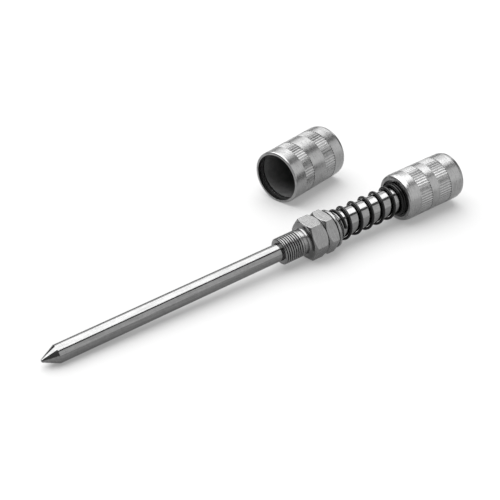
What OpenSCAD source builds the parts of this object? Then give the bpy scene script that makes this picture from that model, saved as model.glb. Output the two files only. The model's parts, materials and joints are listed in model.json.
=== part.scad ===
// Spring-return insertion probe with a compression gland, and its loose knurled cap.
// Everything is in millimetres, in the pose in which the object lies on a table.
// +X runs along the table from the pointed tip towards the knurled head, +Z is up.
// The origin is the centre of the gland's sealing face, on the probe's axis.
// Stations (names ending in _s) are distances along the probe's axis from that face,
// negative towards the tip and positive towards the head.

/* [Sheath and tip] */
// Outside diameter of the sheath tube
sheath_d = 6.35; // [5.6:0.05:6.35]
// Wall thickness of the sheath tube
sheath_wall = 0.5; // [0.3:0.05:0.8]
// Distance from the sealing face to the base of the pointed tip
insertion_length = 95.6; // [60:1:160]
// Length of the conical point
point_length = 5.4; // [3:0.1:8]
// Radius at which the point is blunted
point_r = 0.9; // [0.4:0.1:1.2]

/* [Gland] */
// Major diameter of the gland's parallel pipe thread
thread_d = 9.728; // [9.5:0.01:10.2]
// Pitch of the pipe thread
thread_pitch = 0.907; // [0.8:0.001:1]
// Length of the threaded nose ahead of the sealing face
nose_length = 10.7; // [10:0.1:12]
// Hexagon size across the flats, gland and nut alike
hex_af = 13.8; // [13.6:0.1:15]
// Length of the gland's hexagon
gland_hex_length = 6.05; // [5:0.05:7]
// Gap left between the two hexagons when the nut is tight
nut_gap = 0.15; // [0.1:0.05:0.3]
// Length of the nut's hexagon
nut_hex_length = 4.45; // [4.2:0.05:6]

/* [Guide tube and spring] */
// Outside diameter of the guide tube
tube_d = 9.88; // [9.8:0.01:9.9]
// Outside diameter of the return spring
spring_d = 12.2; // [12.1:0.05:12.6]
// Wire diameter of the return spring
wire_d = 1.05; // [0.9:0.05:1.05]
// Pitch of the spring's open turns
open_pitch = 5.06; // [5.06:0.01:5.08]
// How far the head can be pushed towards the gland
stroke = 10; // [6:0.5:10]

/* [Head] */
// Outside diameter of the knurled head
head_d = 18.16; // [17.8:0.02:18.4]
// Length of the head from its mouth to its rear face
head_length = 27.2; // [27:0.1:30]
// Number of knurl ridges round the head
head_knurls = 57; // [40:1:100]
// Depth of the knurling on the head and the cap
knurl_depth = 0.2; // [0.1:0.05:0.35]

/* [Cap] */
// Outside diameter of the loose cap
cap_d = 20.96; // [20.6:0.02:22]
// Length of the cap
cap_length = 30; // [28:0.5:40]
// Number of knurl ridges round the cap
cap_knurls = 62; // [40:1:110]
// Distance of the cap's mouth ahead of the sealing face
cap_ahead = 15.7; // [0:0.1:60]
// Distance of the cap's mouth behind the probe
cap_behind = 38.2; // [30:0.1:80]
// Angle between the cap's axis and the probe's axis
cap_turn = 13.1; // [-10:0.1:40]

/* [Hidden] */
$fn = 96;

// Fits
slide_gap = 0.05;            // running clearance on the radius between moving pieces
press_gap = 0.02;            // drawn clearance on the radius between pieces fixed together
free_gap = 0.35;             // clear space on the radius between pieces that never touch
stop_gap = 0.05;             // drawn space at an end stop
knurl_sink = 0.03;           // how far the knurl's crests lie under the plain surface

// Sheath and tip
sheath_r = sheath_d / 2;
sheath_bore_r = sheath_r - sheath_wall;
cone_base_s = -insertion_length;
sheath_front_s = cone_base_s + 2;
tip_plug_length = 3.6;
element_front_s = sheath_front_s + tip_plug_length;
element_length = 11;
core_front_s = element_front_s + element_length;
lead_r = 0.35;
lead_offset = 1.2;

// Gland
thread_r = thread_d / 2;
thread_root_r = thread_r - 0.58;
neck_length = 2.8;
neck_r = thread_r - 0.25;
fillet_r = 0.7;
gland_bore_r = sheath_r + slide_gap;
washer_face_r = hex_af / 2 - 0.1;
washer_face_height = 0.3;
hex_corner_r = hex_af / 2 / cos(30);
hex_rim_r = hex_af / 2 - 0.05;
outer_bevel = (hex_corner_r - hex_rim_r) * tan(30);
groove_bevel = 1.2;
spigot_r = 4.75;
spigot_length = 2.7;
spigot_end_s = gland_hex_length + spigot_length;
seat_r = 4.06;
seat_start_s = gland_hex_length - 0.3;
seat_depth = 1;

// Nut and what it squeezes
nut_front_s = gland_hex_length + nut_gap;
nut_rear_s = nut_front_s + nut_hex_length;
ferrule_r = seat_r - slide_gap;
front_ferrule_s = seat_start_s + 0.17;
ferrule_nose = 0.8;
ferrule_body = 0.8;
back_ferrule_s = front_ferrule_s + ferrule_nose + ferrule_body + press_gap;
back_ferrule_length = 1.2;
nut_wall_s = back_ferrule_s + back_ferrule_length + stop_gap;
nut_wall = 0.7;
boss_r = 5.6;
boss_length = 1.4;
boss_end_s = nut_rear_s + boss_length;
ring_r = 7.15;
ring_front_s = nut_rear_s + 0.25;

// Guide tube
tube_r = tube_d / 2;
tube_bore_r = sheath_r + free_gap;
tube_front_s = nut_wall_s + nut_wall + press_gap;
shoulder_r = tube_r + 0.45;
shoulder_s = boss_end_s + 1.9;
shoulder_width = 0.32;
thread_ridge_pitch = 0.62;

// Head
head_r = head_d / 2;
mouth_s = 42.2;
mouth_r = 7.2;
mouth_depth = 3.4;
head_rear_s = mouth_s + head_length;
front_round = 2.1;
front_face_r = head_r - 0.95;
full_radius_s = mouth_s + front_round;
knurl_1_s = mouth_s + 5.3;
knurl_1_length = 5.3;
knurl_2_s = mouth_s + 14.2;
knurl_2_length = 5.6;
rear_round = 2.4;
chamber_r = 6.6;
clip_s = mouth_s + mouth_depth;
clip_width = 0.8;
clip_depth = 0.5;
bush_s = clip_s + clip_width + press_gap;
bush_length = 3.5;
chamber_s = bush_s + bush_length;
collar_s = chamber_s + stop_gap;
collar_length = 1.75;
collar_r = 6.1;
tube_end_s = collar_s + collar_length;
sheath_collar_s = tube_end_s + stroke + 0.35;
sheath_collar_length = 1.6;
insert_s = sheath_collar_s + sheath_collar_length;
sheath_end_s = insert_s + 0.5;
contact_r = 0.52;
insert_seal_s = insert_s + 1.1;
insert_seal_width = 0.9;
insert_seal_depth = 0.6;

// Spring
wire_r = wire_d / 2;
coil_r = spring_d / 2 - wire_r;
seat_washer_width = 0.75;
seat_washer_s = clip_s - seat_washer_width;
closed_pitch = wire_d + 0.03;
front_closed_turns = 0.7;
coil_first_s = shoulder_s + shoulder_width + wire_r + press_gap;
coil_last_s = seat_washer_s - wire_r - press_gap;
open_length = floor((coil_last_s - coil_first_s) / open_pitch) * open_pitch - 0.08;
open_turns = open_length / open_pitch;
rear_closed_turns = (coil_last_s - coil_first_s - open_length) / closed_pitch - front_closed_turns;
spring_turns = front_closed_turns + open_turns + rear_closed_turns;
spring_start = 255;
turn_steps = 20;
wire_sides = 8;

// How the probe lies: on the base of its point and on the head's front edge
lie_tilt = atan((head_r - sheath_r) / (full_radius_s - cone_base_s));
table_z = cone_base_s * sin(lie_tilt) - sheath_r * cos(lie_tilt);

// Cap
cap_r = cap_d / 2;
cap_bore_r = cap_r - 1.05;
cap_relief_r = cap_r - 0.6;
cap_lip = 3.4;
cap_wall = 2.5;
cap_bore_depth = cap_length - cap_wall;
cap_pad_thickness = 1.5;
cap_seal_s = 1.5;
cap_seal_width = 1.1;
cap_round = 2;
cap_knurl_1_s = 5.6;
cap_knurl_1_length = 4.9;
cap_knurl_2_s = 17.4;
cap_knurl_2_length = 5.8;

// Sub-part to draw

// ---------- placing ----------

// Puts what is drawn along +Z onto the probe's axis as it lies on the table.
module on_probe() {
    rotate([0, 90 - lie_tilt, 0])
        children();
}

// Puts what is drawn along +Z, mouth at the origin, onto the cap's axis on the table.
module on_cap() {
    translate([cap_ahead, cap_behind, table_z + cap_r])
        rotate([0, 0, cap_turn])
            rotate([0, 90, 0])
                children();
}

// ---------- shared shapes ----------

// A plain ring between two radii; an inner radius of 0 makes a disc.
module ring(start, length, inner, outer) {
    translate([0, 0, start])
        difference() {
            cylinder(h = length, r = outer);
            if (inner > 0)
                translate([0, 0, -1])
                    cylinder(h = length + 2, r = inner);
        }
}

// A solid of revolution from [radius, station] corners.
module turned(corners) {
    rotate_extrude()
        polygon(corners);
}

// A hexagonal block with its corners bevelled at both ends, flats facing up and down.
// Each end has its own length of bevel.
module bevelled_hex(start, length, front_bevel, rear_bevel) {
    end = start + length;
    intersection() {
        translate([0, 0, start])
            rotate([0, 0, 30])
                cylinder(h = length, r = hex_corner_r, $fn = 6);
        turned([[0, start], [hex_rim_r, start], [hex_corner_r, start + front_bevel],
                [hex_corner_r, end - rear_bevel], [hex_rim_r, end], [0, end]]);
    }
}

// A solid band of straight knurling, its crests just under the plain outside radius.
module knurl_band(start, length, outer, ridges) {
    step = 360 / ridges;
    crest = outer - knurl_sink;
    root = crest - knurl_depth;
    translate([0, 0, start])
        linear_extrude(height = length)
            polygon([for (i = [0 : ridges - 1], side = [0, 1])
                let (r = side == 0 ? crest : root, a = (i + side / 2) * step)
                    [r * cos(a), r * sin(a)]]);
}

// ---------- sheath, point and what they hold ----------

module probe_tip() {
    slope = (sheath_r - point_r) / (point_length - point_r);
    color([0.80, 0.81, 0.82])
        on_probe()
            turned([[0, cone_base_s - point_length],
                    [point_r * 0.6, cone_base_s - point_length + point_r * 0.2],
                    [point_r, cone_base_s - point_length + point_r],
                    [point_r + slope * (point_length - point_r), cone_base_s],
                    [sheath_r, sheath_front_s],
                    [sheath_bore_r - press_gap, sheath_front_s],
                    [sheath_bore_r - press_gap, element_front_s],
                    [0, element_front_s]]);
}

module sheath() {
    color([0.78, 0.79, 0.80])
        on_probe()
            ring(sheath_front_s, sheath_end_s - sheath_front_s, sheath_bore_r, sheath_r);
}

module sensing_element() {
    color([0.30, 0.28, 0.26])
        on_probe()
            ring(element_front_s, element_length, 0, sheath_bore_r - 2 * press_gap);
}

module insulator_core() {
    length = sheath_end_s - core_front_s;
    color([0.93, 0.91, 0.85])
        on_probe()
            difference() {
                ring(core_front_s, length, 0, sheath_bore_r - 2 * press_gap);
                for (side = [-1, 1])
                    translate([0, side * lead_offset, core_front_s - 1])
                        cylinder(h = length + 2, r = lead_r + press_gap, $fn = 32);
            }
}

module lead_wires() {
    color([0.80, 0.45, 0.25])
        on_probe()
            for (side = [-1, 1])
                translate([0, side * lead_offset, core_front_s])
                    cylinder(h = sheath_end_s - core_front_s + 0.8, r = lead_r, $fn = 32);
}

// ---------- compression gland ----------

module gland_body() {
    front = -nose_length;
    threads = floor((nose_length - neck_length - 0.6) / thread_pitch);
    groove = thread_pitch * 0.3;
    color([0.74, 0.75, 0.76])
        on_probe()
            difference() {
                union() {
                    turned([[0, front], [thread_r - 0.45, front], [thread_r, front + 0.4],
                            [thread_r, -neck_length], [neck_r, -neck_length + 0.2],
                            [neck_r, -fillet_r], [neck_r + fillet_r * 0.3, -fillet_r * 0.3],
                            [neck_r + fillet_r, 0], [washer_face_r, 0],
                            [washer_face_r, washer_face_height], [0, washer_face_height]]);
                    bevelled_hex(washer_face_height / 2, gland_hex_length - washer_face_height / 2,
                                 outer_bevel, groove_bevel);
                    turned([[0, gland_hex_length - 1], [spigot_r, gland_hex_length - 1],
                            [spigot_r, spigot_end_s - 0.3], [spigot_r - 0.3, spigot_end_s],
                            [0, spigot_end_s]]);
                }
                translate([0, 0, front - 1])
                    cylinder(h = nose_length + spigot_end_s + 2, r = gland_bore_r);
                turned([[0, seat_start_s], [gland_bore_r, seat_start_s],
                        [seat_r, seat_start_s + seat_depth], [seat_r, spigot_end_s + 1],
                        [0, spigot_end_s + 1]]);
                for (i = [0 : threads - 1])
                    translate([0, 0, front + 0.65 + i * thread_pitch])
                        turned([[thread_root_r, -groove * 0.2], [thread_r + 1, -groove * 2.2],
                                [thread_r + 1, groove * 2.2], [thread_root_r, groove * 0.2]]);
            }
}

module front_ferrule() {
    end = front_ferrule_s + ferrule_nose + ferrule_body;
    color([0.80, 0.80, 0.80])
        on_probe()
            turned([[gland_bore_r, front_ferrule_s], [gland_bore_r + 0.09, front_ferrule_s],
                    [ferrule_r, front_ferrule_s + ferrule_nose], [ferrule_r, end],
                    [gland_bore_r, end]]);
}

module back_ferrule() {
    color([0.76, 0.76, 0.76])
        on_probe()
            ring(back_ferrule_s, back_ferrule_length, gland_bore_r, ferrule_r);
}

module compression_nut() {
    color([0.76, 0.77, 0.78])
        on_probe()
            difference() {
                union() {
                    bevelled_hex(nut_front_s, nut_hex_length,
                                 groove_bevel, outer_bevel);
                    ring(nut_rear_s - 1, boss_length + 1, 0, boss_r);
                }
                ring(nut_front_s - 1, nut_wall_s - nut_front_s + 1, 0, spigot_r + slide_gap + 0.03);
                ring(nut_wall_s - 1, nut_wall + 2, 0, sheath_r + free_gap);
                ring(nut_wall_s + nut_wall, boss_end_s - nut_wall_s, 0, tube_r + press_gap);
            }
}

module lock_ring() {
    bevel = 0.2;
    color([0.70, 0.71, 0.72])
        on_probe()
            turned([[boss_r + press_gap, ring_front_s], [ring_r - bevel, ring_front_s],
                    [ring_r, ring_front_s + bevel], [ring_r, boss_end_s - bevel],
                    [ring_r - bevel, boss_end_s], [boss_r + press_gap, boss_end_s]]);
}

// ---------- guide tube and return spring ----------

module guide_tube() {
    grooves = 3;
    color([0.82, 0.83, 0.84])
        on_probe()
            difference() {
                union() {
                    ring(tube_front_s, tube_end_s - tube_front_s, 0, tube_r);
                    ring(shoulder_s, shoulder_width, 0, shoulder_r);
                }
                ring(tube_front_s - 1, tube_end_s - tube_front_s + 2, 0, tube_bore_r);
                for (i = [0 : grooves - 1])
                    ring(boss_end_s + i * thread_ridge_pitch, thread_ridge_pitch / 2,
                         tube_r - 0.3, tube_r + 1);
            }
}

module stop_collar() {
    color([0.72, 0.73, 0.74])
        on_probe()
            ring(collar_s, collar_length, tube_r + press_gap, collar_r);
}

// Station of the wire's centre after a number of turns from the front end.
function coil_s(turns) =
    coil_first_s
    + closed_pitch * min(turns, front_closed_turns)
    + open_pitch * max(0, min(turns - front_closed_turns, open_turns))
    + closed_pitch * max(0, turns - front_closed_turns - open_turns);

// One corner of the wire's outline, at a place along the coil.
function wire_corner(turns, side) =
    let (around = spring_start - 360 * turns,
         across = 360 * side / wire_sides,
         r = coil_r + wire_r * cos(across))
    [r * cos(around), r * sin(around), coil_s(turns) + wire_r * sin(across)];

// Left-hand coil spring with closed ends.
module return_spring() {
    steps = round(spring_turns * turn_steps);
    last = steps * wire_sides;
    corners = [for (i = [0 : steps], j = [0 : wire_sides - 1])
        wire_corner(spring_turns * i / steps, j)];
    walls = [for (i = [0 : steps - 1], j = [0 : wire_sides - 1])
        let (k = (j + 1) % wire_sides)
            [i * wire_sides + j, i * wire_sides + k,
             (i + 1) * wire_sides + k, (i + 1) * wire_sides + j]];
    front_end = [for (j = [wire_sides - 1 : -1 : 0]) j];
    rear_end = [for (j = [0 : wire_sides - 1]) last + j];
    color([0.08, 0.08, 0.09])
        on_probe()
            polyhedron(points = corners, faces = concat(walls, [front_end, rear_end]), convexity = 10);
}

// ---------- knurled head ----------

module head_sleeve() {
    color([0.72, 0.72, 0.73])
        on_probe()
            difference() {
                union() {
                    turned([[0, mouth_s], [front_face_r, mouth_s],
                            [front_face_r + 0.55, mouth_s + 0.45],
                            [head_r - 0.1, mouth_s + 1.2], [head_r, full_radius_s],
                            [head_r, knurl_1_s], [0, knurl_1_s]]);
                    knurl_band(knurl_1_s, knurl_1_length, head_r, head_knurls);
                    ring(knurl_1_s + knurl_1_length, knurl_2_s - knurl_1_s - knurl_1_length,
                         0, head_r);
                    knurl_band(knurl_2_s, knurl_2_length, head_r, head_knurls);
                    turned([[0, knurl_2_s + knurl_2_length], [head_r, knurl_2_s + knurl_2_length],
                            [head_r, head_rear_s - rear_round],
                            [head_r - rear_round * 0.13, head_rear_s - rear_round * 0.5],
                            [head_r - rear_round * 0.5, head_rear_s - rear_round * 0.13],
                            [head_r - rear_round, head_rear_s], [0, head_rear_s]]);
                }
                ring(mouth_s - 1, chamber_s - mouth_s + 1, 0, mouth_r);
                ring(chamber_s - 1, head_rear_s - chamber_s + 2, 0, chamber_r);
                ring(clip_s, clip_width, 0, mouth_r + clip_depth);
            }
}

module spring_seat() {
    color([0.80, 0.81, 0.82])
        on_probe()
            ring(seat_washer_s, seat_washer_width, tube_r + free_gap, mouth_r - press_gap);
}

module bush_clip() {
    color([0.20, 0.20, 0.21])
        on_probe()
            ring(clip_s + press_gap, clip_width - 2 * press_gap,
                 tube_r + 1, mouth_r + clip_depth - press_gap);
}

module guide_bush() {
    color([0.70, 0.56, 0.30])
        on_probe()
            ring(bush_s, bush_length, tube_r + slide_gap, mouth_r - press_gap);
}

module sheath_collar() {
    color([0.75, 0.76, 0.77])
        on_probe()
            ring(sheath_collar_s, sheath_collar_length, sheath_r + press_gap,
                 chamber_r - press_gap);
}

// ---------- connector in the head's rear face ----------

module connector_insert() {
    color([0.10, 0.10, 0.11])
        on_probe()
            difference() {
                ring(insert_s, head_rear_s - insert_s, 0, chamber_r - press_gap);
                ring(insert_s - 1, sheath_end_s - insert_s + 1, 0, sheath_r + press_gap);
                for (side = [-1, 1])
                    translate([0, side * lead_offset, insert_s])
                        cylinder(h = head_rear_s, r = contact_r + press_gap, $fn = 32);
                ring(insert_seal_s, insert_seal_width, chamber_r - insert_seal_depth,
                     chamber_r + 1);
            }
}

module insert_seal() {
    color([0.07, 0.07, 0.07])
        on_probe()
            ring(insert_seal_s + press_gap, insert_seal_width - 2 * press_gap,
                 chamber_r - insert_seal_depth + press_gap, chamber_r - press_gap);
}

module contact_sockets() {
    crimp = 0.8;
    socket_depth = 3;
    length = head_rear_s - sheath_end_s - 0.05;
    color([0.85, 0.68, 0.30])
        on_probe()
            for (side = [-1, 1])
                translate([0, side * lead_offset, sheath_end_s])
                    difference() {
                        cylinder(h = length, r = contact_r, $fn = 32);
                        translate([0, 0, -1])
                            cylinder(h = crimp + 1, r = lead_r + press_gap, $fn = 32);
                        translate([0, 0, length - socket_depth])
                            cylinder(h = socket_depth + 1, r = contact_r - 0.2, $fn = 32);
                    }
}

// ---------- loose cap ----------

module cap_shell() {
    color([0.66, 0.67, 0.68])
        on_cap()
            difference() {
                union() {
                    turned([[0, 0], [cap_r - 0.5, 0], [cap_r - 0.12, 0.15], [cap_r, 0.55],
                            [cap_r, cap_knurl_1_s], [0, cap_knurl_1_s]]);
                    knurl_band(cap_knurl_1_s, cap_knurl_1_length, cap_r, cap_knurls);
                    ring(cap_knurl_1_s + cap_knurl_1_length,
                         cap_knurl_2_s - cap_knurl_1_s - cap_knurl_1_length, 0, cap_r);
                    knurl_band(cap_knurl_2_s, cap_knurl_2_length, cap_r, cap_knurls);
                    turned([[0, cap_knurl_2_s + cap_knurl_2_length],
                            [cap_r, cap_knurl_2_s + cap_knurl_2_length],
                            [cap_r, cap_length - cap_round],
                            [cap_r - cap_round * 0.13, cap_length - cap_round * 0.5],
                            [cap_r - cap_round * 0.5, cap_length - cap_round * 0.13],
                            [cap_r - cap_round, cap_length], [0, cap_length]]);
                }
                ring(-1, cap_lip + 2, 0, cap_bore_r);
                ring(cap_lip, cap_bore_depth - cap_lip, 0, cap_relief_r);
                ring(cap_seal_s, cap_seal_width, 0, cap_relief_r);
            }
}

module cap_seal() {
    color([0.09, 0.09, 0.09])
        on_cap()
            ring(cap_seal_s + press_gap, cap_seal_width - 2 * press_gap,
                 cap_bore_r, cap_relief_r - press_gap);
}

module cap_liner() {
    color([0.12, 0.12, 0.13])
        on_cap()
            ring(cap_lip + press_gap, cap_bore_depth - cap_lip - cap_pad_thickness,
                 cap_bore_r, cap_relief_r - press_gap);
}

module cap_pad() {
    color([0.16, 0.16, 0.17])
        on_cap()
            ring(cap_bore_depth - cap_pad_thickness + 2 * press_gap,
                 cap_pad_thickness - 3 * press_gap, 0, cap_relief_r - press_gap);
}

probe_tip();
sheath();
sensing_element();
insulator_core();
lead_wires();
gland_body();
front_ferrule();
back_ferrule();
compression_nut();
lock_ring();
guide_tube();
stop_collar();
return_spring();
head_sleeve();
spring_seat();
bush_clip();
guide_bush();
sheath_collar();
connector_insert();
insert_seal();
contact_sockets();
cap_shell();
cap_seal();
cap_liner();
cap_pad();
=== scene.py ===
"""Looks of the spring-return insertion probe and its loose cap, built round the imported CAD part.

Units are metres, in the part's own frame: +X from the tip towards the head, +Z up.
"""

import json
import math

import bmesh
import bpy
from mathutils import Matrix, Vector


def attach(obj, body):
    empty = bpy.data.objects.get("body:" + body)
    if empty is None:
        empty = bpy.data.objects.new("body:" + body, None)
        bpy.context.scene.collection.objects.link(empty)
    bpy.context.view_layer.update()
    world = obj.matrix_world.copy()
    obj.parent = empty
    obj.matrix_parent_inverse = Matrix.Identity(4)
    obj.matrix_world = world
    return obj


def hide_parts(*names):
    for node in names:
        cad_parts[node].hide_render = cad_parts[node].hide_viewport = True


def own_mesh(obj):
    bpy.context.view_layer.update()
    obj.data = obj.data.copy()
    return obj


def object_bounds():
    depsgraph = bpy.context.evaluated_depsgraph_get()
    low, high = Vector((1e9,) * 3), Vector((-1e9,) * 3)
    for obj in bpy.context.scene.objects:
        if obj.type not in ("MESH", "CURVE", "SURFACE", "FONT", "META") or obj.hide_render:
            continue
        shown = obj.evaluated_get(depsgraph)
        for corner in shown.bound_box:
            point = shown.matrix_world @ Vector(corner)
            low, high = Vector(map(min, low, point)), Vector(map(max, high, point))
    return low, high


MM = 0.001

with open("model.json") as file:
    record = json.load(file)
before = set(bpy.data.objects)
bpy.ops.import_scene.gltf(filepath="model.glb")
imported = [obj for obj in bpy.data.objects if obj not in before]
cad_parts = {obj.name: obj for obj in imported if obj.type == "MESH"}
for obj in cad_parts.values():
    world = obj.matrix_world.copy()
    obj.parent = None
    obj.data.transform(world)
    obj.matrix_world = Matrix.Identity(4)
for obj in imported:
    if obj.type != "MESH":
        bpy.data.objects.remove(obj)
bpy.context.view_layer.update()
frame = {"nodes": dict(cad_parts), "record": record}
joints = {joint["name"]: joint for joint in frame["record"]["behaviour"]["joints"]}
probe_axis = Vector(joints["head_push"]["axis"]).normalized()
cap_axis = Vector(joints["cap_slide"]["axis"]).normalized()
table_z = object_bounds()[0][2]


# ---------- node-tree helpers ----------

# Texture scales are in repeats per metre, depths in metres
WEAR_CLOUDS = 900.0
PITS = 2600.0
COAT_CLOUDS = 400.0
PAPER_GRAIN = 40.0
MARK_DEPTH = 0.02 * MM
PIT_DEPTH = 0.01 * MM
WORN_SHADE = 0.80
BEVEL_SAMPLES = 8


class Paint:
    """A material under construction, with short ways to add and join its nodes."""

    def __init__(self, name):
        self.material = bpy.data.materials.new(name)
        self.material.use_nodes = True
        self.tree = self.material.node_tree
        self.shader = self.tree.nodes["Principled BSDF"]

    def node(self, kind, **settings):
        made = self.tree.nodes.new(kind)
        for key, value in settings.items():
            setattr(made, key, value)
        return made

    def join(self, source, target):
        self.tree.links.new(source, target)

    def set(self, socket, value):
        self.shader.inputs[socket].default_value = value

    def stretched(self, scale, turn=0.0):
        """Object coordinates stretched by scale, after turning them about Z."""
        where = self.node("ShaderNodeTexCoord")
        turned = self.node("ShaderNodeMapping")
        turned.inputs["Rotation"].default_value = (0.0, 0.0, turn)
        self.join(where.outputs["Object"], turned.inputs["Vector"])
        mapped = self.node("ShaderNodeMapping")
        mapped.inputs["Scale"].default_value = scale
        self.join(turned.outputs["Vector"], mapped.inputs["Vector"])
        return mapped.outputs["Vector"]

    def noise(self, vector, detail=4.0, roughness=0.6):
        made = self.node("ShaderNodeTexNoise")
        made.inputs["Scale"].default_value = 1.0
        made.inputs["Detail"].default_value = detail
        made.inputs["Roughness"].default_value = roughness
        self.join(vector, made.inputs["Vector"])
        return made.outputs["Fac"]

    def ramp(self, value, stops):
        """A colour ramp; stops are (position, colour)."""
        made = self.node("ShaderNodeValToRGB")
        elements = made.color_ramp.elements
        while len(elements) < len(stops):
            elements.new(0.5)
        for element, (position, colour) in zip(elements, stops):
            element.position = position
            element.color = colour
        self.join(value, made.inputs["Fac"])
        return made.outputs["Color"]

    def remap(self, value, low, high):
        """The middle of a noise's range, spread from low to high."""
        made = self.node("ShaderNodeMapRange")
        made.inputs["From Min"].default_value = 0.3
        made.inputs["From Max"].default_value = 0.7
        made.inputs["To Min"].default_value = low
        made.inputs["To Max"].default_value = high
        self.join(value, made.inputs["Value"])
        return made.outputs["Result"]

    def mix(self, factor, first, second, mode="MIX"):
        made = self.node("ShaderNodeMix", data_type="RGBA", blend_type=mode)
        if isinstance(factor, float):
            made.inputs["Factor"].default_value = factor
        else:
            self.join(factor, made.inputs["Factor"])
        self.join(first, made.inputs["A"])
        self.join(second, made.inputs["B"])
        return made.outputs["Result"]

    def broken_edges(self, radius):
        """Normals rounded over the sharp edges, so that the edges catch the light."""
        made = self.node("ShaderNodeBevel", samples=BEVEL_SAMPLES)
        made.inputs["Radius"].default_value = radius
        return made.outputs["Normal"]

    def bump(self, heights, normal=None):
        """Bumps laid one over another; heights are (value, strength, distance)."""
        for value, strength, distance in heights:
            made = self.node("ShaderNodeBump")
            made.inputs["Strength"].default_value = strength
            made.inputs["Distance"].default_value = distance
            self.join(value, made.inputs["Height"])
            if normal is not None:
                self.join(normal, made.inputs["Normal"])
            normal = made.outputs["Normal"]
        self.join(normal, self.shader.inputs["Normal"])


def grey(value):
    return (value, value, value, 1.0)


def even(scale):
    """The same texture scale along all three axes."""
    return (scale, scale, scale)


def metal(name, light, dark, rough_low, rough_high, grain, grain_bump, edge, turn=0.0):
    """Machined metal: fine marks along or across the axis, soft clouds of wear, tiny pits."""
    paint = Paint(name)
    marks = paint.noise(paint.stretched(grain, turn), detail=5.0, roughness=0.7)
    clouds = paint.noise(paint.stretched(even(WEAR_CLOUDS)), detail=5.0, roughness=0.7)
    pits = paint.noise(paint.stretched(even(PITS)), detail=2.0, roughness=0.8)
    streaks = paint.ramp(marks, [(0.32, grey(dark)), (0.68, grey(light))])
    worn = paint.ramp(clouds, [(0.3, grey(WORN_SHADE)), (0.7, grey(1.0))])
    paint.join(paint.mix(1.0, streaks, worn, "MULTIPLY"), paint.shader.inputs["Base Color"])
    rough = paint.mix(0.5, paint.remap(marks, rough_low, rough_high),
                      paint.remap(clouds, rough_low, rough_high))
    paint.join(rough, paint.shader.inputs["Roughness"])
    paint.bump([(marks, grain_bump, MARK_DEPTH), (pits, grain_bump * 0.5, PIT_DEPTH)],
               paint.broken_edges(edge * MM))
    paint.set("Metallic", 1.0)
    return paint.material


def coated(name, light, dark, rough_low, rough_high, spots, bump, metallic=0.0, gloss=0.5):
    """Non-metal or coated surface: cloudy colour, speckled gloss and a fine bump."""
    paint = Paint(name)
    clouds = paint.noise(paint.stretched(even(COAT_CLOUDS)), detail=4.0)
    speckle = paint.noise(paint.stretched(even(spots)), detail=3.0, roughness=0.7)
    paint.join(paint.ramp(clouds, [(0.3, dark), (0.7, light)]), paint.shader.inputs["Base Color"])
    paint.join(paint.remap(speckle, rough_low, rough_high), paint.shader.inputs["Roughness"])
    paint.bump([(speckle, bump, MARK_DEPTH)])
    paint.set("Metallic", metallic)
    paint.set("Specular IOR Level", gloss)
    return paint.material


# ---------- materials ----------

DRAWN = (60.0, 2600.0, 2600.0)
TURNED = (3200.0, 160.0, 160.0)
FINE_TURNED = (5200.0, 260.0, 260.0)
CAP_TURN = -math.atan2(cap_axis.y, cap_axis.x)


def make_materials():
    return {
        "sheath": metal("drawn_steel", 0.205, 0.14, 0.08, 0.15, DRAWN, 0.3, 0.08),
        "tube": metal("polished_tube", 0.22, 0.16, 0.10, 0.16, DRAWN, 0.2, 0.08),
        "gland": metal("turned_gland", 0.215, 0.147, 0.22, 0.30, TURNED, 0.25, 0.32),
        "head": metal("satin_head", 0.31, 0.20, 0.24, 0.34, FINE_TURNED, 0.35, 0.05),
        "cap": metal("satin_cap", 0.345, 0.22, 0.24, 0.34, FINE_TURNED, 0.35, 0.05, turn=CAP_TURN),
        "washer": metal("bright_washer", 0.36, 0.28, 0.15, 0.28, TURNED, 0.2, 0.08),
        "bronze": coated("machined_bronze", (0.62, 0.42, 0.17, 1.0), (0.50, 0.32, 0.12, 1.0),
                         0.22, 0.36, 1800.0, 0.2, metallic=1.0),
        "copper": coated("drawn_copper", (0.78, 0.36, 0.18, 1.0), (0.62, 0.27, 0.13, 1.0),
                         0.2, 0.34, 1800.0, 0.2, metallic=1.0),
        "spring": coated("black_spring_coating", grey(0.006), grey(0.003), 0.16, 0.26,
                         2400.0, 0.3, gloss=0.18),
        "blackened": coated("blackened_steel", grey(0.03), grey(0.015), 0.25, 0.4, 2400.0, 0.3),
        "rubber": coated("black_rubber", grey(0.022), grey(0.014), 0.5, 0.7, 3000.0, 0.5),
        "plastic": coated("black_plastic", grey(0.030), grey(0.020), 0.34, 0.5, 2600.0, 0.35),
        "ceramic": coated("fired_ceramic", (0.80, 0.77, 0.70, 1.0), (0.72, 0.69, 0.61, 1.0),
                          0.5, 0.65, 2600.0, 0.3),
        "element": coated("sintered_element", (0.16, 0.13, 0.11, 1.0), (0.10, 0.08, 0.07, 1.0),
                          0.5, 0.7, 2600.0, 0.4),
        "liner": coated("cap_liner_plastic", grey(0.15), grey(0.10), 0.35, 0.5, 2600.0, 0.35),
        "pad": coated("cap_pad_foam", grey(0.080), grey(0.050), 0.75, 0.9, 1500.0, 0.8),
    }


LOOKS = {
    "sheath": ["probe_tip", "sheath"],
    "tube": ["guide_tube"],
    "gland": ["gland_body", "compression_nut", "lock_ring", "stop_collar", "sheath_collar"],
    "head": ["head_sleeve"],
    "cap": ["cap_shell"],
    "washer": ["spring_seat", "front_ferrule", "back_ferrule"],
    "bronze": ["guide_bush", "contact_sockets"],
    "copper": ["lead_wires"],
    "spring": ["return_spring"],
    "blackened": ["bush_clip"],
    "rubber": ["insert_seal", "cap_seal"],
    "plastic": ["connector_insert"],
    "ceramic": ["insulator_core"],
    "element": ["sensing_element"],
    "liner": ["cap_liner"],
    "pad": ["cap_pad"],
}


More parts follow.
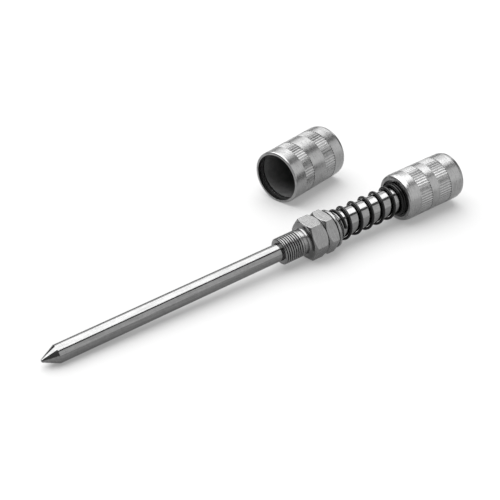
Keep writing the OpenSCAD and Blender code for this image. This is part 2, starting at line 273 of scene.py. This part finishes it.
def paint_nodes(materials):
    for look, names in LOOKS.items():
        for name in names:
            mesh = frame["nodes"][name].data
            mesh.materials.clear()
            mesh.materials.append(materials[look])


# ---------- return spring ----------

WIRE_R = 0.525 * MM
COIL_R = 5.575 * MM
OPEN_PITCH = 5.06 * MM
CLOSED_PITCH = 1.08 * MM
FRONT_CLOSED_TURNS = 0.7
FIRST_ANGLE = math.radians(255.0)
OPEN_END_GAP = 0.08 * MM
STEPS_PER_TURN = 72
WIRE_SIDES = 20


def along_probe(name):
    """Where a node starts and ends, measured along the probe's axis from the frame's origin."""
    node = frame["nodes"][name]
    places = [(node.matrix_world @ vertex.co).dot(probe_axis) for vertex in node.data.vertices]
    return min(places), max(places)


def make_spring(material):
    """Left-hand coil with closed ends, smooth, in the place of the faceted CAD coil."""
    front, rear = along_probe("return_spring")
    first = front + WIRE_R
    length = rear - front - 2.0 * WIRE_R
    open_turns = math.floor(length / OPEN_PITCH) - OPEN_END_GAP / OPEN_PITCH
    open_length = open_turns * OPEN_PITCH
    rear_closed_turns = (length - open_length) / CLOSED_PITCH - FRONT_CLOSED_TURNS
    turns = FRONT_CLOSED_TURNS + open_turns + rear_closed_turns
    across = Vector((0.0, 1.0, 0.0))
    under = across.cross(probe_axis)

    def centre(turn):
        along = first + CLOSED_PITCH * min(turn, FRONT_CLOSED_TURNS)
        along += OPEN_PITCH * max(0.0, min(turn - FRONT_CLOSED_TURNS, open_turns))
        along += CLOSED_PITCH * max(0.0, turn - FRONT_CLOSED_TURNS - open_turns)
        return along

    mesh = bmesh.new()
    rings = []
    steps = round(turns * STEPS_PER_TURN)
    for step in range(steps + 1):
        turn = turns * step / steps
        angle = FIRST_ANGLE - 2.0 * math.pi * turn
        outward = under * math.cos(angle) + across * math.sin(angle)
        ring = []
        for side in range(WIRE_SIDES):
            round_wire = 2.0 * math.pi * side / WIRE_SIDES
            reach = outward * (COIL_R + WIRE_R * math.cos(round_wire))
            along = probe_axis * (centre(turn) + WIRE_R * math.sin(round_wire))
            ring.append(mesh.verts.new(reach + along))
        rings.append(ring)
    for here, ahead in zip(rings, rings[1:]):
        for side in range(WIRE_SIDES):
            after = (side + 1) % WIRE_SIDES
            mesh.faces.new((here[side], here[after], ahead[after], ahead[side])).smooth = True
    mesh.faces.new(list(reversed(rings[0])))
    mesh.faces.new(rings[-1])
    data = bpy.data.meshes.new("spring_coil")
    mesh.normal_update()
    mesh.to_mesh(data)
    mesh.free()
    data.materials.append(material)
    coil = bpy.data.objects.new("spring_coil", data)
    bpy.context.collection.objects.link(coil)
    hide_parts("return_spring")
    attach(coil, "nut")
    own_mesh(coil)


# ---------- light, floor and camera ----------

FLOOR_HALF_WIDTH = 3.0
FLOOR_GLOW = 0.26
WORLD_BRIGHTNESS = 0.22


def make_floor():
    half = FLOOR_HALF_WIDTH
    mesh = bpy.data.meshes.new("floor")
    corners = [(-half, -half, table_z), (half, -half, table_z),
               (half, half, table_z), (-half, half, table_z)]
    mesh.from_pydata(corners, [], [(0, 1, 2, 3)])
    floor = bpy.data.objects.new("floor", mesh)
    bpy.context.collection.objects.link(floor)
    paint = Paint("floor_paper")
    grain = paint.noise(paint.stretched(even(PAPER_GRAIN)), detail=3.0)
    tone = paint.ramp(grain, [(0.3, grey(0.273)), (0.7, grey(0.277))])
    paint.join(tone, paint.shader.inputs["Base Color"])
    paint.set("Emission Color", grey(1.0))
    paint.set("Emission Strength", FLOOR_GLOW)
    paint.set("Roughness", 0.9)
    paint.set("Specular IOR Level", 0.1)
    mesh.materials.append(paint.material)


def make_sun(name, came_from, strength, angle):
    """A distant light whose disc, angle degrees wide, shows in the metal as a soft-edged band."""
    light = bpy.data.lights.new(name, "SUN")
    light.energy = strength
    light.angle = math.radians(angle)
    lamp = bpy.data.objects.new(name, light)
    lamp.rotation_euler = Vector(came_from).to_track_quat("Z", "Y").to_euler()
    bpy.context.collection.objects.link(lamp)


def make_softbox(name, place, aim, width, height, brightness):
    """A rectangular panel; brightness is what it shows in a mirror, with 1.0 for white paper."""
    light = bpy.data.lights.new(name, "AREA")
    light.shape = "RECTANGLE"
    light.size = width
    light.size_y = height
    light.energy = brightness * math.pi * width * height
    lamp = bpy.data.objects.new(name, light)
    lamp.location = place
    lamp.rotation_euler = (Vector(place) - Vector(aim)).to_track_quat("Z", "Y").to_euler()
    bpy.context.collection.objects.link(lamp)


def make_lights():
    world = bpy.data.worlds.new("studio")
    world.use_nodes = True
    background = world.node_tree.nodes["Background"]
    background.inputs["Color"].default_value = grey(1.0)
    background.inputs["Strength"].default_value = WORLD_BRIGHTNESS
    bpy.context.scene.world = world
    make_sun("overhead_tent", (-0.05, 0.28, 0.96), 7.4, 80.0)
    make_softbox("front_panel", (0.42, -0.98, 0.52), (0.0, 0.0, 0.0), 2.4, 1.15, 1.5)
    make_softbox("back_panel", (0.45, 0.85, 0.54), (0.0, 0.0, 0.0), 2.0, 0.50, 1.9)


CAMERA_PLACE = Vector((-175.83, -238.96, 188.74)) * MM
CAMERA_TURN = math.radians(32.69)
CAMERA_DROP = math.radians(32.89)
CAMERA_ROLL = math.radians(2.97)
LENS_MM = 72.0
SENSOR_MM = 36.0


def make_camera():
    """A camera turned from +Y towards +X, dropped below level and rolled about its own axis."""
    turn, drop, roll = CAMERA_TURN, CAMERA_DROP, CAMERA_ROLL
    ahead = Vector((math.sin(turn) * math.cos(drop),
                    math.cos(turn) * math.cos(drop),
                    -math.sin(drop)))
    level = ahead.cross(Vector((0.0, 0.0, 1.0))).normalized()
    down = ahead.cross(level)
    right = level * math.cos(roll) + down * math.sin(roll)
    below = down * math.cos(roll) - level * math.sin(roll)
    data = bpy.data.cameras.new("camera")
    data.sensor_width = SENSOR_MM
    data.lens = LENS_MM
    data.clip_start = 0.01
    data.dof.use_dof = False
    camera = bpy.data.objects.new("camera", data)
    pose = Matrix((right, -below, -ahead)).transposed().to_4x4()
    pose.translation = CAMERA_PLACE
    camera.matrix_world = pose
    bpy.context.collection.objects.link(camera)
    bpy.context.scene.camera = camera


def make_view():
    settings = bpy.context.scene.view_settings
    settings.view_transform = "Standard"
    settings.look = "None"
    settings.exposure = 0.0


materials = make_materials()
paint_nodes(materials)
make_spring(materials["spring"])
make_floor()
make_lights()
make_camera()
make_view()
